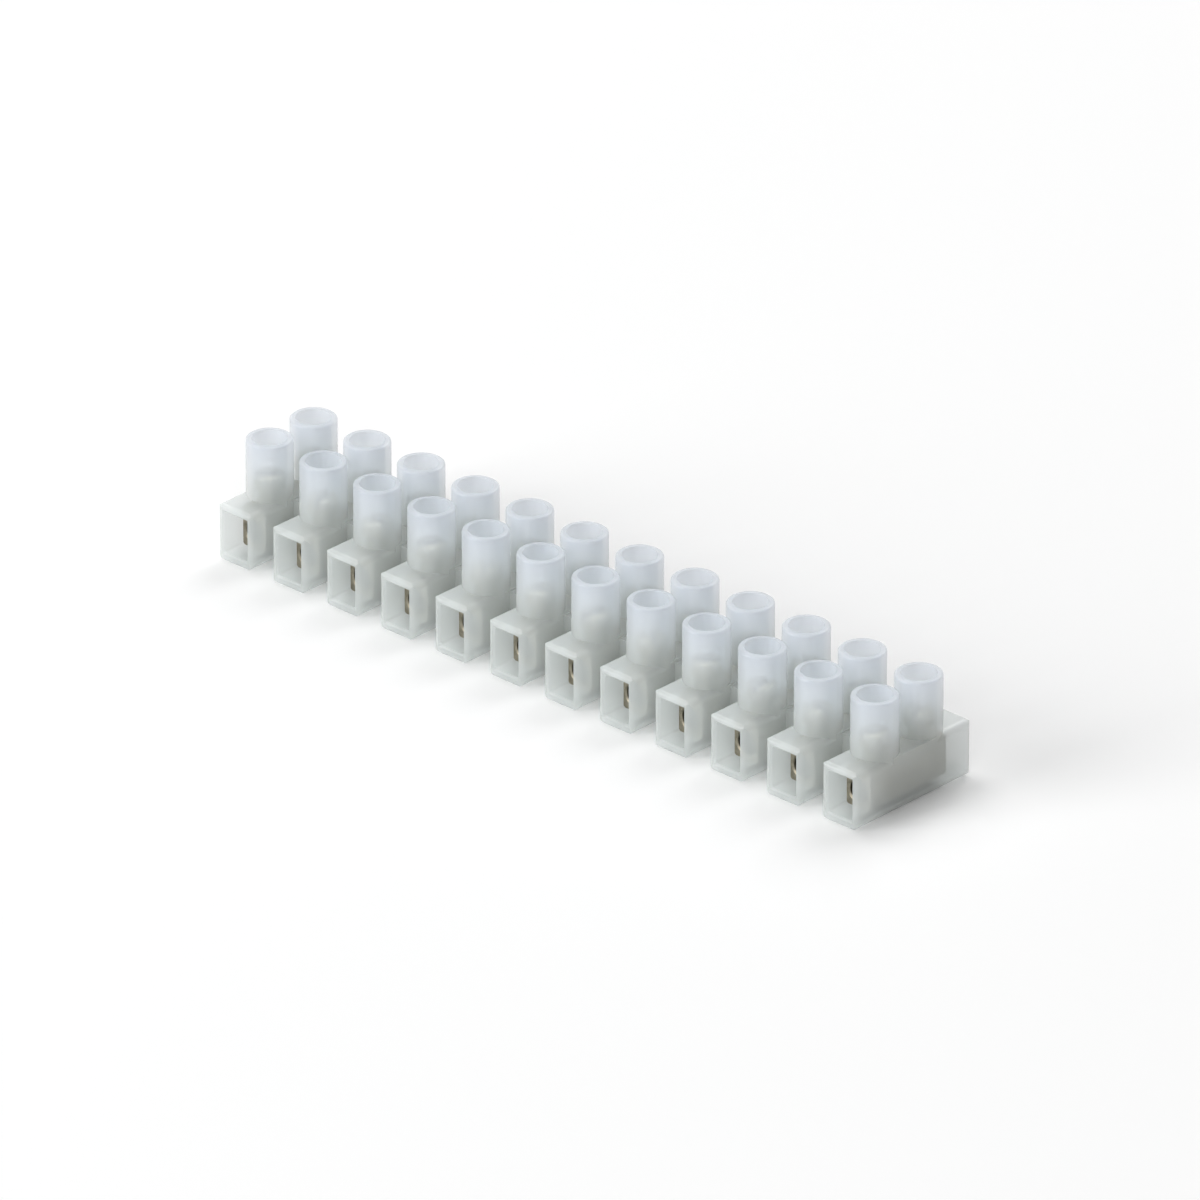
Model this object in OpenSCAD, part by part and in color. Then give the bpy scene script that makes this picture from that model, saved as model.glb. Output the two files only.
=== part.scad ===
// Terminal strip: a milky moulded housing with a row of poles. Every pole holds one brass insert
// that takes a wire from each side, and two slotted screws that clamp the wires.
// The row runs along X, the wires enter along Y, and the strip stands on Z = 0.

/* [Row] */
// Number of poles in the row
poles = 12; // [2:1:19]
// Distance from one pole to the next
pitch = 10; // [9.2:0.1:16]

/* [Brass insert] */
// Width of an insert along the row
insert_w = 4.05; // [3.7:0.05:4.8]
// Height of an insert
insert_h = 5.9; // [5.4:0.1:8]
// Length of an insert from wire to wire
insert_l = 14.8; // [12.4:0.1:20]
// Radius of the insert's four long edges
insert_edge_r = 0.4; // [0.1:0.05:0.8]
// Diameter of the wire bore
wire_bore_d = 3.2; // [2.9:0.1:3.5]
// Metal left under the wire bore
wire_bore_floor = 0.7; // [0.4:0.1:1.2]
// Widening at each end of the wire bore
wire_bore_chamfer = 0.2; // [0.05:0.05:0.25]
// Distance between the two screws of a pole
screw_spacing = 8.5; // [7.8:0.1:9.5]

/* [Clamping screw] */
// Thread diameter of a screw
thread_d = 3; // [2.4:0.1:3.2]
// Length of the threaded shank
thread_l = 3.3; // [2.6:0.1:6]
// Diameter of the plain point that presses on the wire
point_d = 2.2; // [1.2:0.1:2.3]
// Length of the plain point
point_l = 0.9; // [0.5:0.1:1.7]
// Diameter of the screw head
head_d = 4.2; // [3.4:0.1:4.6]
// Height of the screw head
head_h = 2; // [1.6:0.1:4]
// Chamfer around the top of the screw head
head_chamfer = 0.25; // [0.05:0.05:0.5]
// Width of the screwdriver slot
slot_w = 0.8; // [0.4:0.1:1.2]
// Depth of the screwdriver slot
slot_depth = 0.9; // [0.5:0.1:1.3]

/* [Housing] */
// Plastic at each side of an insert
side_wall = 1.175; // [0.9:0.025:2]
// Plastic under an insert
floor_t = 1.3; // [1:0.05:3]
// Plastic above an insert
roof_t = 1.05; // [0.8:0.05:2]
// Distance from a mouth to the end of the insert behind it
mouth_depth = 3.7; // [3:0.1:10]
// Widening of a mouth at the outer face
mouth_flare = 0.25; // [0.05:0.05:0.3]
// Height of the screw towers above the blocks
tower_h = 8.35; // [5:0.05:14]
// Wall of a screw tower
tower_wall = 0.8; // [0.5:0.05:0.825]
// Radius around the outside of a tower's rim
rim_r = 0.35; // [0.1:0.05:0.45]
// Radius of the long edges along the base of a block
base_edge_r = 1.6; // [0.5:0.1:2]
// Radius of the long edges along the top of a block, outside the towers
top_edge_r = 1; // [0.3:0.1:1.2]
// Radius of the upright corners beside a mouth
corner_r = 0.9; // [0.3:0.1:0.9]
// Radius of the edges above and below a mouth
lip_r = 0.6; // [0.2:0.1:0.6]

/* [Fixing web] */
// Depth of the web that joins two neighbouring blocks
web_d = 6.4; // [5:0.1:8]
// Diameter of the fixing hole in a web
fixing_hole_d = 3.3; // [2.5:0.1:4]
// Drop from the top of the blocks to the top of a web
web_drop = 0.25; // [0.1:0.05:3]
// Height of a web above the base
web_lift = 0.4; // [0.1:0.1:3]

/* [Hidden] */
$fn = 64;
// Room between an insert and the plastic beside it
insert_side_clearance = 0.1;
// Room between an insert and the plastic above it
insert_top_clearance = 0.2;
// Room around a screw head in its tower
head_clearance = 0.35;
// Room around a thread in its tapped hole
thread_clearance = 0.03;
// Gap between a screw's point and the wire bore while the terminal is open
point_rest_gap = 0.05;
// How far a cut runs past the face that it opens
overshoot = 1;
// How far joined solids reach into each other
root = 0.5;
// How far the tower bore cuts below the roof of the tunnel
bore_break = 0.4;

// The tunnel is one straight passage through a block, which the insert is pushed into
tunnel_w = insert_w + 2 * insert_side_clearance;
tunnel_h = insert_h + insert_top_clearance;
tunnel_top = floor_t + tunnel_h;

block_w = tunnel_w + 2 * side_wall;
block_d = insert_l + 2 * mouth_depth;
block_h = tunnel_top + roof_t;
strip_h = block_h + tower_h;

tower_bore_d = head_d + 2 * head_clearance;
tower_d = tower_bore_d + 2 * tower_wall;
tower_foot = block_h - top_edge_r - root;

// Heights up a clamping screw, which is backed out so that the wire bore is free
wire_bore_z = floor_t + wire_bore_floor + wire_bore_d / 2;
point_z = wire_bore_z + wire_bore_d / 2 + point_rest_gap;
thread_z = point_z + point_l;
head_z = thread_z + thread_l;
screw_top = head_z + head_h;

web_gap = pitch - block_w;
web_top = block_h - web_drop;

POLES = [1 : poles];
// The front row of screws lies at negative Y, and the rear row at positive Y
ROWS = [["front", -1], ["rear", 1]];

function pole_x(pole) = (pole - (poles + 1) / 2) * pitch;
function two_digits(number) = number < 10 ? str("0", number) : str(number);
function insert_name(pole) = str("brass_insert_", two_digits(pole));
function screw_name(row, pole) = str(row[0], "_screw_", two_digits(pole));
// Every slot stops where its screw was last turned to, so no two neighbours match
function slot_angle(row, pole) = (pole * 67 + row[1] * 29) % 180;

// A rectangle that stands on the X axis, with one radius at its lower and one at its upper corners
module rounded_outline(size_x, size_y, low_r, high_r) {
    half_x = size_x / 2;
    half_y = size_y / 2;
    translate([-half_x, low_r]) square([size_x, size_y - low_r - high_r]);
    translate([-half_x + low_r, 0]) square([size_x - 2 * low_r, half_y]);
    translate([-half_x + high_r, half_y]) square([size_x - 2 * high_r, half_y]);
    for (side = [-1, 1]) {
        translate([side * (half_x - low_r), low_r]) circle(low_r);
        translate([side * (half_x - high_r), size_y - high_r]) circle(high_r);
    }
}

// An outline drawn in X and Z, carried along Y
module along_y(length) {
    rotate([90, 0, 0]) linear_extrude(length, center = true) children();
}

// An outline drawn in Y and Z, carried along X
module along_x(length) {
    rotate([90, 0, 90]) linear_extrude(length, center = true) children();
}

// One pole's block: round along the base, at the mouths and along the top,
// with a square-edged saddle between its two towers
module block() {
    intersection() {
        along_y(block_d) rounded_outline(block_w, block_h, base_edge_r, top_edge_r);
        linear_extrude(block_h)
            translate([0, -block_d / 2]) rounded_outline(block_w, block_d, corner_r, corner_r);
        along_x(block_w) rounded_outline(block_d, block_h, lip_r, lip_r);
    }
    along_y(screw_spacing)
        translate([-block_w / 2, base_edge_r]) square([block_w, block_h - base_edge_r]);
}

// A solid tower with a rounded rim, which the bore is cut from later
module tower() {
    tower_r = tower_d / 2;
    rotate_extrude() {
        translate([0, tower_foot]) square([tower_r, strip_h - rim_r - tower_foot]);
        translate([0, tower_foot]) square([tower_r - rim_r, strip_h - tower_foot]);
        translate([tower_r - rim_r, strip_h - rim_r]) circle(rim_r);
    }
}

// The bore of a tower, down into the tunnel, for a screw and its driver
module tower_bore() {
    bore_floor = tunnel_top - bore_break;
    translate([0, 0, bore_floor]) cylinder(d = tower_bore_d, h = strip_h - bore_floor + overshoot);
}

// A funnel that narrows from a widened mouth at 45 degrees until it is lost inside the tunnel
module mouth_funnel() {
    outer = mouth_flare + overshoot;
    inner = -2 * insert_edge_r;
    half_w = tunnel_w / 2;
    half_h = tunnel_h / 2;
    translate([0, -block_d / 2, floor_t + half_h]) intersection() {
        linear_extrude(tunnel_h + 2 * outer, center = true) polygon([
            [-half_w - outer, -overshoot], [half_w + outer, -overshoot],
            [half_w + inner, mouth_flare - inner], [-half_w - inner, mouth_flare - inner]
        ]);
        along_x(tunnel_w + 2 * outer) polygon([
            [-overshoot, -half_h - outer], [-overshoot, half_h + outer],
            [mouth_flare - inner, half_h + inner], [mouth_flare - inner, -half_h - inner]
        ]);
    }
}

// The straight passage through a block with its two mouths
module tunnel() {
    along_y(block_d + 2 * overshoot)
        translate([0, floor_t]) rounded_outline(tunnel_w, tunnel_h, insert_edge_r, insert_edge_r);
    mouth_funnel();
    mirror([0, 1, 0]) mouth_funnel();
}

// The web between a block and the next one along the row
module web() {
    translate([pitch / 2, 0, (web_lift + web_top) / 2])
        cube([web_gap + 2 * root, web_d, web_top - web_lift], center = true);
}

// The hole down through a web for a fixing screw
module fixing_hole() {
    translate([pitch / 2, 0, web_lift - overshoot])
        cylinder(d = fixing_hole_d, h = web_top - web_lift + 2 * overshoot);
}

module housing() {
    color("gainsboro") difference() {
        for (pole = POLES) translate([pole_x(pole), 0, 0]) {
            block();
            for (row = ROWS) translate([0, row[1] * screw_spacing / 2, 0]) tower();
            if (pole < poles) web();
        }
        for (pole = POLES) translate([pole_x(pole), 0, 0]) {
            tunnel();
            for (row = ROWS) translate([0, row[1] * screw_spacing / 2, 0]) tower_bore();
            if (pole < poles) fixing_hole();
        }
    }
}

// The metal block that joins a pole's two wires, with a tapped hole under each tower
module brass_insert() {
    wire_bore_r = wire_bore_d / 2;
    color("goldenrod") difference() {
        along_y(insert_l)
            translate([0, floor_t]) rounded_outline(insert_w, insert_h, insert_edge_r, insert_edge_r);
        translate([0, 0, wire_bore_z]) rotate([90, 0, 0]) {
            cylinder(r = wire_bore_r, h = insert_l + 2 * overshoot, center = true);
            for (turn = [0, 180]) rotate([0, turn, 0])
                translate([0, 0, insert_l / 2 - wire_bore_chamfer])
                    cylinder(r1 = wire_bore_r, r2 = wire_bore_r + wire_bore_chamfer, h = wire_bore_chamfer);
        }
        for (row = ROWS) translate([0, row[1] * screw_spacing / 2, wire_bore_z])
            cylinder(d = thread_d + 2 * thread_clearance, h = insert_h + overshoot);
    }
}

// A cheese-head screw with a slot and a plain point
module clamping_screw(angle) {
    color("silver") difference() {
        union() {
            translate([0, 0, point_z]) cylinder(d = point_d, h = point_l + root);
            translate([0, 0, thread_z]) cylinder(d = thread_d, h = thread_l + root);
            translate([0, 0, head_z]) cylinder(d = head_d, h = head_h - head_chamfer);
            translate([0, 0, screw_top - head_chamfer])
                cylinder(d1 = head_d, d2 = head_d - 2 * head_chamfer, h = head_chamfer);
        }
        rotate([0, 0, angle]) translate([0, 0, screw_top - slot_depth / 2 + overshoot / 2])
            cube([head_d + 2 * overshoot, slot_w, slot_depth + overshoot], center = true);
    }
}

housing();
for (pole = POLES) {
    translate([pole_x(pole), 0, 0]) brass_insert();
    for (row = ROWS)
        translate([pole_x(pole), row[1] * screw_spacing / 2, 0])
                clamping_screw(slot_angle(row, pole));
}
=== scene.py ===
"""The looks of a terminal strip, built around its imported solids.

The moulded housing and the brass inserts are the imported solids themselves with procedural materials.
The clamping screws get real threads and softened slots here. Their sizes are in millimetres.
"""

import math

import bmesh
import bpy
from mathutils import Matrix, Vector


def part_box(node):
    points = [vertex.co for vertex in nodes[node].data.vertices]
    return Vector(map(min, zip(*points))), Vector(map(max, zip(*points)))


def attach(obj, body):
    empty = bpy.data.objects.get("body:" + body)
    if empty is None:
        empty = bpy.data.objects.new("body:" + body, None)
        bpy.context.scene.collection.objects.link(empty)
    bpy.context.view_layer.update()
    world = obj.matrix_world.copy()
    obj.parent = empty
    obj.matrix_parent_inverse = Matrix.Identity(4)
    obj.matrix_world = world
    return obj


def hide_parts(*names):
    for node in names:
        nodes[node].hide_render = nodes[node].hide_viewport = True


MM = 0.001

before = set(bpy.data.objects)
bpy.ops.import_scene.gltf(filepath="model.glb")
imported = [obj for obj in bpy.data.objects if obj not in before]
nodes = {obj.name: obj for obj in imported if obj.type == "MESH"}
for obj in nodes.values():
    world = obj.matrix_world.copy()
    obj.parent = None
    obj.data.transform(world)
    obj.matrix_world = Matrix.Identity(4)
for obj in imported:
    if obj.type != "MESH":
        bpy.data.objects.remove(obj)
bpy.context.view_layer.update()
scene = bpy.context.scene
collection = scene.collection

POLES = 12
ROWS = (("front", -1), ("rear", 1))

# The clamping screw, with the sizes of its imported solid
POINT_R = 1.1
POINT_LENGTH = 0.9
THREAD_R = 1.5
THREAD_LENGTH = 3.3
HEAD_R = 2.1
HEAD_HEIGHT = 2.0
HEAD_CHAMFER = 0.25
SLOT_WIDTH = 0.8
SLOT_DEPTH = 0.9
THREAD_TOP = POINT_LENGTH + THREAD_LENGTH
SCREW_TOP = THREAD_TOP + HEAD_HEIGHT

# The edges that are softened here, and a bend that rounds the head's chamfer, as shares of that chamfer
POINT_CHAMFER = 0.2
HEAD_FOOT_CHAMFER = 0.08
SLOT_EDGE = 0.06
BEND_DROP = 0.3
BEND_INSET = 0.42

# The thread. Its flanks run between two shares of half a pitch, and it fades over some turns at both ends
THREAD_PITCH = 0.5
THREAD_DEPTH = 0.27
CREST_END = 0.15
ROOT_START = 0.9
ENTRY_TURNS = 1.0
RUNOUT_TURNS = 0.8

# How finely the screw is made, and what counts as an edge
AROUND = 40
STEPS_PER_TURN = 8
TOLERANCE = 0.001
SLOT_EDGE_ANGLE = math.radians(50)
SHARP_ANGLE = math.radians(40)


def smooth_step(low, high, value):
    share = min(max((value - low) / (high - low), 0.0), 1.0)
    return share * share * (3 - 2 * share)


def screw_rings():
    """Heights and radii of the screw's rings from its point to its top. The thread's rings have no radius."""
    rings = [(0.0, POINT_R - POINT_CHAMFER), (POINT_CHAMFER, POINT_R)]
    count = round(THREAD_LENGTH / THREAD_PITCH * STEPS_PER_TURN)
    for step in range(count + 1):
        rings.append((POINT_LENGTH + THREAD_LENGTH * step / count, None))
    rings.append((THREAD_TOP, HEAD_R - HEAD_FOOT_CHAMFER))
    rings.append((THREAD_TOP + HEAD_FOOT_CHAMFER, HEAD_R))
    rings.append((SCREW_TOP - HEAD_CHAMFER, HEAD_R))
    rings.append((SCREW_TOP - HEAD_CHAMFER * BEND_DROP, HEAD_R - HEAD_CHAMFER * BEND_INSET))
    rings.append((SCREW_TOP, HEAD_R - HEAD_CHAMFER))
    return rings


def thread_radius(height, angle):
    """The thread's radius at a height and angle. Its crest winds up the shank and fades at both ends."""
    turn = (height / THREAD_PITCH - angle / math.tau) % 1.0
    flank = abs(2 * turn - 1)
    cut = THREAD_DEPTH * smooth_step(CREST_END, ROOT_START, flank)
    entry = smooth_step(POINT_LENGTH, POINT_LENGTH + ENTRY_TURNS * THREAD_PITCH, height)
    runout = 1 - smooth_step(THREAD_TOP - RUNOUT_TURNS * THREAD_PITCH, THREAD_TOP, height)
    crest = POINT_R + (THREAD_R - POINT_R) * entry
    return min(crest, THREAD_R - cut * runout)


def screw_body():
    """The screw before its slot is cut, as one closed skin."""
    bm = bmesh.new()
    loops = []
    for height, radius in screw_rings():
        loop = []
        for i in range(AROUND):
            angle = math.tau * i / AROUND
            reach = thread_radius(height, angle) if radius is None else radius
            loop.append(bm.verts.new((reach * math.cos(angle), reach * math.sin(angle), height)))
        loops.append(loop)
    for lower, upper in zip(loops, loops[1:]):
        for i in range(AROUND):
            j = (i + 1) % AROUND
            bm.faces.new((lower[i], lower[j], upper[j], upper[i]))
    bm.faces.new(list(reversed(loops[0])))
    bm.faces.new(loops[-1])
    mesh = bpy.data.meshes.new("screw_body")
    bm.to_mesh(mesh)
    bm.free()
    return mesh


def slot_cutter():
    """A bar as wide as the slot, which reaches out past the head on every side."""
    bm = bmesh.new()
    bmesh.ops.create_cube(bm, size=1.0)
    size = Matrix.Diagonal((4 * HEAD_R, SLOT_WIDTH, 2 * SLOT_DEPTH, 1))
    bmesh.ops.transform(bm, matrix=Matrix.Translation((0, 0, SCREW_TOP)) @ size, verts=bm.verts)
    mesh = bpy.data.meshes.new("slot_cutter")
    bm.to_mesh(mesh)
    bm.free()
    return mesh


def soften_slot(mesh):
    """Rounds the slot's edges, which drivers have worn, and scales the mesh to metres."""
    slot_floor = SCREW_TOP - SLOT_DEPTH
    bm = bmesh.new()
    bm.from_mesh(mesh)

    def on_slot(vert):
        return abs(vert.co.y) < SLOT_WIDTH / 2 + TOLERANCE and vert.co.z > slot_floor - TOLERANCE

    edges = [
        edge
        for edge in bm.edges
        if len(edge.link_faces) == 2
        and all(on_slot(vert) for vert in edge.verts)
        and edge.calc_face_angle(0) > SLOT_EDGE_ANGLE
    ]
    bmesh.ops.bevel(bm, geom=edges, offset=SLOT_EDGE, segments=2, affect="EDGES", clamp_overlap=True)
    for face in bm.faces:
        face.smooth = True
    bm.transform(Matrix.Scale(MM, 4))
    bm.to_mesh(mesh)
    bm.free()


def screw_mesh():
    """One finished screw, standing on its point at the origin with its slot along X."""
    body = bpy.data.objects.new("screw_body", screw_body())
    cutter = bpy.data.objects.new("slot_cutter", slot_cutter())
    for obj in (body, cutter):
        collection.objects.link(obj)
    cut = body.modifiers.new("slot", "BOOLEAN")
    cut.operation = "DIFFERENCE"
    cut.solver = "EXACT"
    cut.object = cutter
    bpy.context.view_layer.update()
    graph = bpy.context.evaluated_depsgraph_get()
    mesh = bpy.data.meshes.new_from_object(body.evaluated_get(graph))
    mesh.name = "clamping_screw"
    for obj in (body, cutter):
        bpy.data.objects.remove(obj)
    soften_slot(mesh)
    mesh.set_sharp_from_angle(angle=SHARP_ANGLE)
    return mesh


class Material:
    """A node material around one Principled shader."""

    def __init__(self, name):
        self.data = bpy.data.materials.new(name)
        self.data.use_nodes = True
        self.tree = self.data.node_tree
        self.shader = next(n for n in self.tree.nodes if n.type == "BSDF_PRINCIPLED")
        coordinates = self.tree.nodes.new("ShaderNodeTexCoord")
        self.place = coordinates.outputs["Object"]

    def set(self, **values):
        """Sets the shader's inputs by name: coat_weight stands for Coat Weight."""
        for name, value in values.items():
            self.shader.inputs[name.replace("_", " ").title().replace("Ior", "IOR")].default_value = value

    def link(self, source, target):
        self.tree.links.new(source, target)

    def stretch(self, scale):
        """The object's coordinates, stretched along each axis."""
        node = self.tree.nodes.new("ShaderNodeMapping")
        node.inputs["Scale"].default_value = scale
        self.link(self.place, node.inputs["Vector"])
        return node.outputs["Vector"]

    def noise(self, scale, detail=2.0, place=None):
        node = self.tree.nodes.new("ShaderNodeTexNoise")
        node.inputs["Scale"].default_value = scale
        node.inputs["Detail"].default_value = detail
        self.link(place or self.place, node.inputs["Vector"])
        return node.outputs["Fac"]

    def height(self, low, high):
        """How far up a point lies: 0 at the low height and 1 at the high one."""
        split = self.tree.nodes.new("ShaderNodeSeparateXYZ")
        self.link(self.place, split.inputs["Vector"])
        node = self.tree.nodes.new("ShaderNodeMapRange")
        node.inputs["From Min"].default_value = low
        node.inputs["From Max"].default_value = high
        self.link(split.outputs["Z"], node.inputs["Value"])
        return node.outputs["Result"]

    def stirred(self, value, noise, amount):
        """A value with a little noise added around it."""
        centred = self.tree.nodes.new("ShaderNodeMath")
        centred.operation = "SUBTRACT"
        centred.inputs[1].default_value = 0.5
        self.link(noise, centred.inputs[0])
        node = self.tree.nodes.new("ShaderNodeMath")
        node.operation = "MULTIPLY_ADD"
        node.inputs[1].default_value = amount
        self.link(centred.outputs[0], node.inputs[0])
        self.link(value, node.inputs[2])
        return node.outputs[0]

    def ramp(self, value, low, high, start=0.3, end=0.7):
        """A colour that runs from low to high between two values."""
        node = self.tree.nodes.new("ShaderNodeValToRGB")
        ends = node.color_ramp.elements
        ends[0].position = start
        ends[0].color = (*low, 1)
        ends[1].position = end
        ends[1].color = (*high, 1)
        self.link(value, node.inputs["Fac"])
        return node.outputs["Color"]

    def colour(self, source):
        self.link(source, self.shader.inputs["Base Color"])

    def roughness(self, value, low, high):
        node = self.tree.nodes.new("ShaderNodeMapRange")
        node.inputs["To Min"].default_value = low
        node.inputs["To Max"].default_value = high
        self.link(value, node.inputs["Value"])
        self.link(node.outputs["Result"], self.shader.inputs["Roughness"])

    def bump(self, value, height, strength):
        node = self.tree.nodes.new("ShaderNodeBump")
        node.inputs["Distance"].default_value = height
        node.inputs["Strength"].default_value = strength
        self.link(value, node.inputs["Height"])
        self.link(node.outputs["Normal"], self.shader.inputs["Normal"])

    def let_through(self, tint, scattered, straight):
        """Lets one share of the light through scattered and tinted, and one share straight."""
        soft = self.tree.nodes.new("ShaderNodeBsdfTranslucent")
        self.link(tint, soft.inputs["Color"])
        clear = self.tree.nodes.new("ShaderNodeBsdfTransparent")
        clear.inputs["Color"].default_value = (1, 1, 1, 1)
        passing = self.mix(straight / (scattered + straight), soft, clear)
        surface = self.mix(scattered + straight, self.shader, passing)
        output = next(n for n in self.tree.nodes if n.type == "OUTPUT_MATERIAL")
        self.link(surface.outputs["Shader"], output.inputs["Surface"])

    def mix(self, share, first, second):
        """Two shaders mixed, with a share of the second."""
        node = self.tree.nodes.new("ShaderNodeMixShader")
        node.inputs["Fac"].default_value = share
        self.link(first.outputs[0], node.inputs[1])
        self.link(second.outputs[0], node.inputs[2])
        return node


# The milky plastic, white with painted light in its tint: a painted greenish glow low down from the metal
# inside, and painted bluish light at the tops of the towers
LOW_HEIGHT = 8 * MM
HIGH_HEIGHT = 16.5 * MM
LOW_WHITE_AND_PAINTED_GLOW = (0.925, 0.975, 0.967)
HIGH_WHITE_AND_PAINTED_BLUE_LIGHT = (0.84, 0.895, 0.98)
LOW_THROUGH_AND_PAINTED_GLOW = (0.967, 0.99, 0.985)
HIGH_THROUGH_AND_PAINTED_BLUE_LIGHT = (0.935, 0.96, 0.99)

# The shares of the light that each skin of the plastic lets through
SCATTERED_SHARE = 0.27
STRAIGHT_SHARE = 0.46

# The metals, dark: partly their own dull colour, partly painted shade for the shade they lie in inside the
# plastic
BRASS_PAINTED_SHADE_LOW = (0.26, 0.235, 0.18)
BRASS_PAINTED_SHADE_HIGH = (0.37, 0.335, 0.26)
STEEL_PAINTED_SHADE_LOW = (0.24, 0.225, 0.15)
STEEL_PAINTED_SHADE_HIGH = (0.35, 0.33, 0.22)


def milky_plastic():
    """Natural plastic that the metal inside shows through."""
    plastic = Material("milky_plastic")
    height = plastic.height(LOW_HEIGHT, HIGH_HEIGHT)
    height = plastic.stirred(height, plastic.noise(scale=260, detail=3), amount=0.3)
    # The colour carries painted light: a greenish glow low down and bluish light at the tower tops
    plastic.colour(plastic.ramp(height, LOW_WHITE_AND_PAINTED_GLOW, HIGH_WHITE_AND_PAINTED_BLUE_LIGHT, start=0.0, end=1.0))
    plastic.roughness(plastic.noise(scale=900, detail=3), low=0.28, high=0.42)
    plastic.bump(plastic.noise(scale=700), height=0.04 * MM, strength=0.35)
    plastic.set(specular_ior_level=1.0, coat_weight=1.0, coat_roughness=0.15)
    # The light let through carries the same painted tint, greenish low down and bluish at the tops
    tint = plastic.ramp(height, LOW_THROUGH_AND_PAINTED_GLOW, HIGH_THROUGH_AND_PAINTED_BLUE_LIGHT, start=0.0, end=1.0)
    plastic.let_through(tint, SCATTERED_SHARE, STRAIGHT_SHARE)
    return plastic.data


def brass():
    """Drawn brass with faint streaks along the inserts."""
    metal = Material("brass")
    drawn = metal.noise(scale=1500, detail=3, place=metal.stretch((1.0, 0.06, 1.0)))
    # Painted shade: the brass is darkened for the shade inside the mouths and behind the end wall
    metal.colour(metal.ramp(drawn, BRASS_PAINTED_SHADE_LOW, BRASS_PAINTED_SHADE_HIGH))
    metal.roughness(metal.noise(scale=2500), low=0.26, high=0.44)
    metal.bump(drawn, height=0.02 * MM, strength=0.5)
    metal.set(metallic=1.0)
    return metal.data


def plated_steel():
    """Plated steel with faint rings round the screws, as a lathe leaves them."""
    metal = Material("plated_steel")
    turned = metal.noise(scale=1800, detail=3, place=metal.stretch((0.4, 0.4, 3.0)))
    # Painted shade: the steel is darkened for the shade inside the towers
    metal.colour(metal.ramp(turned, STEEL_PAINTED_SHADE_LOW, STEEL_PAINTED_SHADE_HIGH))
    metal.roughness(metal.noise(scale=1200), low=0.25, high=0.42)
    metal.bump(turned, height=0.02 * MM, strength=0.4)
    metal.set(metallic=1.0)
    return metal.data


def paint(obj, material):
    obj.data.materials.clear()
    obj.data.materials.append(material)


# How far the slots turn from pole to pole and from the middle to each row, in degrees
TURN_PER_POLE = 67
TURN_PER_ROW = 29


def slot_angle(side, pole):
    """Where each screw was last turned to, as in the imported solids."""
    return math.radians((pole * TURN_PER_POLE + side * TURN_PER_ROW) % 180)


def add_screws(material):
    """A threaded screw in place of each packed one."""
    mesh = screw_mesh()
    mesh.materials.append(material)
    for row, side in ROWS:
        for pole in range(1, POLES + 1):
            node = f"{row}_screw_{pole:02d}"
            low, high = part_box(node)
            screw = bpy.data.objects.new(f"threaded_{node}", mesh)
            collection.objects.link(screw)
            middle = (low + high) / 2
            screw.location = (middle.x, middle.y, low.z)
            screw.rotation_euler.z = slot_angle(side, pole)
            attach(screw, node)
            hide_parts(node)


# The camera, fitted to the poles in the photograph, far away behind a long lens
AZIMUTH = math.radians(43.14)
ELEVATION = math.radians(26.94)
DISTANCE = 2500 * MM
FOCAL_PIXELS = 18807
IMAGE_PIXELS = 1200
SENSOR = 36.0
ORIGIN_PIXEL = (590.3, 666.2)


def add_camera():
    back = Vector((
        math.sin(AZIMUTH) * math.cos(ELEVATION),
        -math.cos(AZIMUTH) * math.cos(ELEVATION),
        math.sin(ELEVATION),
    ))
    right = Vector((math.cos(AZIMUTH), math.sin(AZIMUTH), 0))
    up = back.cross(right)
    pixel = DISTANCE / FOCAL_PIXELS
    across = (ORIGIN_PIXEL[0] - IMAGE_PIXELS / 2) * pixel
    upward = (IMAGE_PIXELS / 2 - ORIGIN_PIXEL[1]) * pixel
    data = bpy.data.cameras.new("camera")
    data.sensor_width = SENSOR
    data.lens = FOCAL_PIXELS * SENSOR / IMAGE_PIXELS
    camera = bpy.data.objects.new("camera", data)
    camera.location = back * DISTANCE - right * across - up * upward
    camera.rotation_mode = "QUATERNION"
    camera.rotation_quaternion = (-back).to_track_quat("-Z", "Y")
    collection.objects.link(camera)
    scene.camera = camera


def seen_directly(tree):
    """A value of 1 for rays that show the background, straight, mirrored in metal or through glass.

    Light that the milky plastic scatters doesn't count, so the white background adds no light to the strip.
    """
    path = tree.nodes.new("ShaderNodeLightPath")
    clear = tree.nodes.new("ShaderNodeMath")
    clear.operation = "SUBTRACT"
    clear.use_clamp = True
    tree.links.new(path.outputs["Is Transmission Ray"], clear.inputs[0])
    tree.links.new(path.outputs["Is Diffuse Ray"], clear.inputs[1])
    seen = clear.outputs[0]
    for name in ("Is Camera Ray", "Is Glossy Ray"):
        either = tree.nodes.new("ShaderNodeMath")
        either.operation = "MAXIMUM"
        tree.links.new(seen, either.inputs[0])
        tree.links.new(path.outputs[name], either.inputs[1])
        seen = either.outputs[0]
    return seen


# The floor, with its radius in metres. It shows as white, bounces less light and clears the strip's feet
FLOOR_RADIUS = 3.0
FLOOR_SEEN = 1.0
FLOOR_BOUNCE = 0.7
FLOOR_GAP = 0.02 * MM


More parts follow.
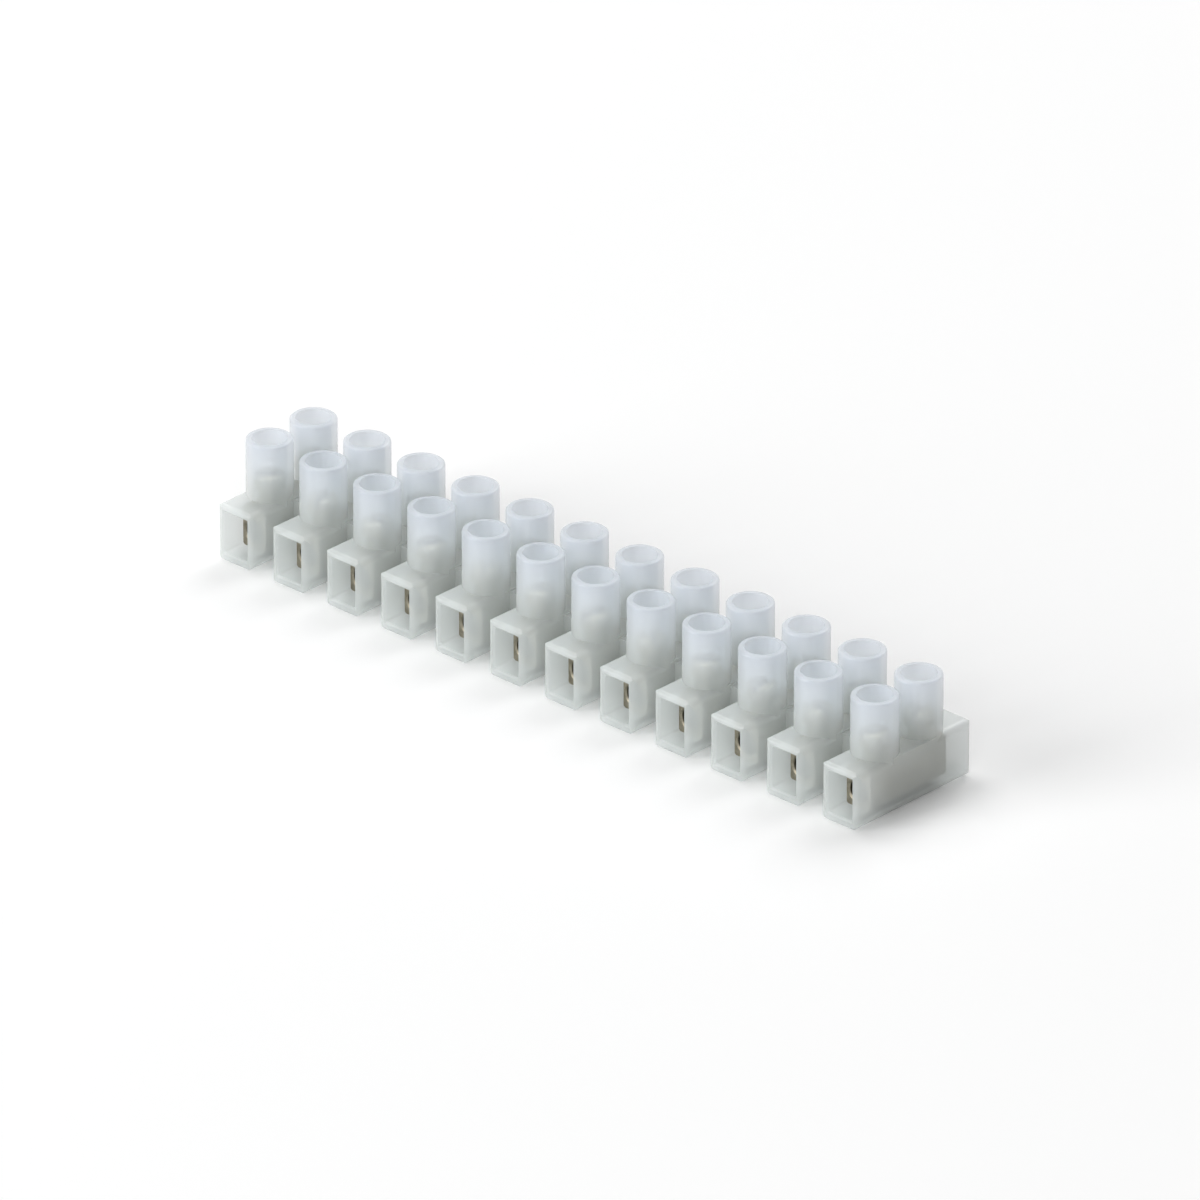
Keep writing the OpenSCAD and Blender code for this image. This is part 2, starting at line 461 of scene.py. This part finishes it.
def add_floor():
    """A round floor that keeps the strip's shadow. Its bounce light is a little grey."""
    bm = bmesh.new()
    bmesh.ops.create_circle(bm, cap_ends=True, radius=FLOOR_RADIUS, segments=96)
    mesh = bpy.data.meshes.new("floor")
    bm.to_mesh(mesh)
    bm.free()
    floor = bpy.data.objects.new("floor", mesh)
    floor.location.z = -FLOOR_GAP
    collection.objects.link(floor)
    material = Material("floor")
    choose = material.tree.nodes.new("ShaderNodeMapRange")
    choose.inputs["To Min"].default_value = FLOOR_BOUNCE
    choose.inputs["To Max"].default_value = FLOOR_SEEN
    material.link(seen_directly(material.tree), choose.inputs["Value"])
    material.colour(choose.outputs["Result"])
    material.set(roughness=0.9, specular_ior_level=0.0)
    mesh.materials.append(material.data)


def add_world():
    """A white background where it is seen, which lights nothing."""
    world = bpy.data.worlds.new("studio")
    world.use_nodes = True
    tree = world.node_tree
    background = next(n for n in tree.nodes if n.type == "BACKGROUND")
    background.inputs["Color"].default_value = (1.0, 1.0, 1.0, 1)
    tree.links.new(seen_directly(tree), background.inputs["Strength"])
    scene.world = world


# The softboxes, in metres: the turn and rise of each in degrees, and its share of the light on the floor
SOFTBOX_DISTANCE = 2.2
SOFTBOX_SIZE = 1.2
SOFTBOXES = (
    ("front", -115, 21, 0.25),
    ("right", -45, 40, 0.21),
    ("left", 172, 62, 0.32),
    ("rear", 105, 48, 0.31),
)


def add_softbox(name, turn, rise, share):
    """A square lamp that faces the strip. Shares that add up to 1 show a white floor as white."""
    turn = math.radians(turn)
    rise = math.radians(rise)
    place = SOFTBOX_DISTANCE * Vector((
        math.cos(rise) * math.cos(turn),
        math.cos(rise) * math.sin(turn),
        math.sin(rise),
    ))
    data = bpy.data.lights.new(name, "AREA")
    data.shape = "SQUARE"
    data.size = SOFTBOX_SIZE
    data.energy = share * (math.pi * SOFTBOX_DISTANCE) ** 2 / math.sin(rise)
    lamp = bpy.data.objects.new(name, data)
    lamp.location = place
    lamp.rotation_mode = "QUATERNION"
    lamp.rotation_quaternion = (-place).to_track_quat("-Z", "Y")
    collection.objects.link(lamp)


paint(nodes["housing"], milky_plastic())
brass_material = brass()
for name, node in nodes.items():
    if name.startswith("brass_insert"):
        paint(node, brass_material)
add_screws(plated_steel())

add_camera()
add_floor()
add_world()
for softbox in SOFTBOXES:
    add_softbox(*softbox)
scene.cycles.max_bounces = 16
scene.cycles.diffuse_bounces = 10
scene.cycles.transparent_max_bounces = 16
scene.view_settings.view_transform = "Standard"
